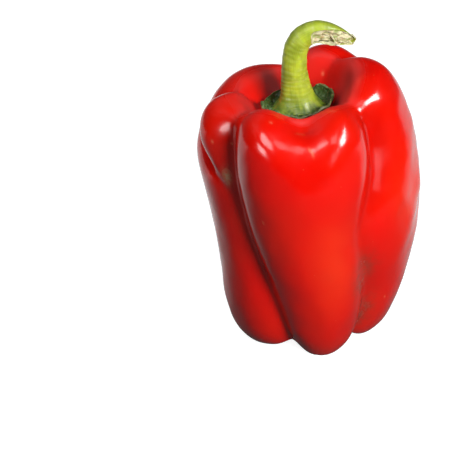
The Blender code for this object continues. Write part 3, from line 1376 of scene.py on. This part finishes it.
@dataclass(frozen=True)
class Studio:
    """Plain pale floor, soft light and the camera, in metres and degrees."""

    elevation: float = 28.0
    distance: float = 0.65
    lens: float = 131.7
    sensor: float = 36.0
    aim: Pair = (-0.03106, 0.03912)
    light_height: float = 0.06
    floor_size: float = 6.0
    floor_drop: float = 0.0002
    floor_color: Color = (0.4, 0.4, 0.4)
    bounce_color: Color = (0.05, 0.05, 0.05)
    floor_glow: float = 0.93
    floor_shine: float = 0.75
    backdrop: float = 2.0
    ambient: float = 0.5
    softboxes: tuple[Softbox, ...] = (
        Softbox("right_light", -32, 43, 1.1, 0.42, 12.0, LightUse.HIGHLIGHTS),
        Softbox("left_light", -127, 51, 1.1, 0.42, 3.4, LightUse.HIGHLIGHTS),
        Softbox("top_light", -76, 62, 1.1, 0.3, 0.7, LightUse.HIGHLIGHTS),
        Softbox("low_left_light", -143, 19, 1.1, 0.26, 1.8, LightUse.HIGHLIGHTS),
        Softbox("left_shading_light", 175, 45, 1.0, 0.5, 2.8, LightUse.SHADING),
        Softbox("back_shading_light", 125, 42, 1.0, 0.7, 2.4, LightUse.SHADING),
        Softbox("shading_light", -62, 26, 0.65, 0.22, 4.8, LightUse.SHADING),
    )

    def build(self) -> None:
        """Build floor, camera, lights and world."""
        self.make_floor()
        self.make_camera()
        for softbox in self.softboxes:
            softbox.build(Vector((0, 0, self.light_height)))
        self.make_world()
        bpy.context.scene.view_settings.view_transform = "Standard"

    def make_floor(self) -> None:
        """A wide pale floor, a hair under the feet, with a barely uneven matt finish.

        The camera sees it nearly white and the skin mirrors it behind the pepper,
        but it throws little light back.
        """
        half = self.floor_size / 2
        x, y = half * np.array((-1, 1, 1, -1)), half * np.array((-1, -1, 1, 1))
        corners = np.stack([x, y, np.full(4, -self.floor_drop)], axis=-1)
        floor = mesh_object("floor", corners, np.arange(4), np.array([4]), {})
        s = Shader("floor_paint")
        path = s.node("ShaderNodeLightPath").outputs
        seen = path["Is Camera Ray"]
        painted = s.mix(s.noise(3.0), tuple(0.98 * c for c in self.floor_color), self.floor_color)
        behind = s.ranged(s.axes(s.place())["Y"], -0.02, 0.1, 0.05, self.floor_shine)
        glow = s.plus(s.times(path["Is Glossy Ray"], behind), s.times(seen, self.floor_glow))
        s.surface(Base_Color=s.mix(seen, self.bounce_color, painted), Emission_Strength=glow)
        s.surface(Roughness=0.9, Specular_IOR_Level=0.1, Emission_Color=(1, 1, 1, 1))
        s.material.cycles.emission_sampling = "NONE"
        floor.data.materials.append(s.material)

    def make_camera(self) -> None:
        """The camera, raised over the front of the pepper."""
        rise = math.radians(self.elevation)
        forward = Vector((0, math.cos(rise), -math.sin(rise)))
        upward = Vector((0, math.sin(rise), math.cos(rise)))
        target = Vector((self.aim[0], 0, 0)) + upward * self.aim[1]
        camera = bpy.data.cameras.new("camera")
        camera.lens = self.lens
        camera.sensor_width = self.sensor
        holder = bpy.data.objects.new("camera", camera)
        holder.location = target - forward * self.distance
        holder.rotation_euler = (math.pi / 2 - rise, 0, 0)
        bpy.context.scene.collection.objects.link(holder)
        bpy.context.scene.camera = holder

    def make_world(self) -> None:
        """Surroundings: a low white backdrop behind the pepper and soft light all round.

        The backdrop fades in from 0 to 0.65 of the direction's y and fades out
        from -0.05 to 0.6 of its z. Only mirror rays see it; shading sees an even
        grey and the camera plain white.
        """
        world = bpy.data.worlds.new("surroundings")
        world.use_nodes = True
        world.cycles.sampling_method = "NONE"
        bpy.context.scene.world = world
        t = Tree(world.node_tree)
        towards = t.axes(t.node("ShaderNodeTexCoord").outputs["Generated"])
        path = t.node("ShaderNodeLightPath").outputs
        backdrop = t.times(
            t.ranged(towards["Y"], 0.0, 0.65, 0.02, self.backdrop),
            t.ranged(towards["Z"], -0.05, 0.6, 1.0, 0.1),
        )
        mirrored = t.times(backdrop, path["Is Glossy Ray"])
        ambient = t.times(path["Is Diffuse Ray"], self.ambient)
        strength = t.plus(t.plus(mirrored, ambient), path["Is Camera Ray"])
        t.feed(t.tree.nodes["Background"], Strength=strength)


def main() -> None:
    """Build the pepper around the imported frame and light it."""
    logging.basicConfig(level=logging.INFO, format="%(name)s: %(message)s")
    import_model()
    form = PepperForm()
    placement = Placement.from_frame(form)
    LOG.info("placed at %s mm", [round(float(c), 3) for c in placement.shift])
    flecks = flecks_group()
    for part in (Fruit(form, placement), Calyx(form, placement), Stem(form, placement)):
        for piece in part.build(flecks):
            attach(piece, "root")
            LOG.info("built %s with %d faces", piece.name, len(piece.data.polygons))
    Studio().build()


if __name__ == "__main__":
    main()
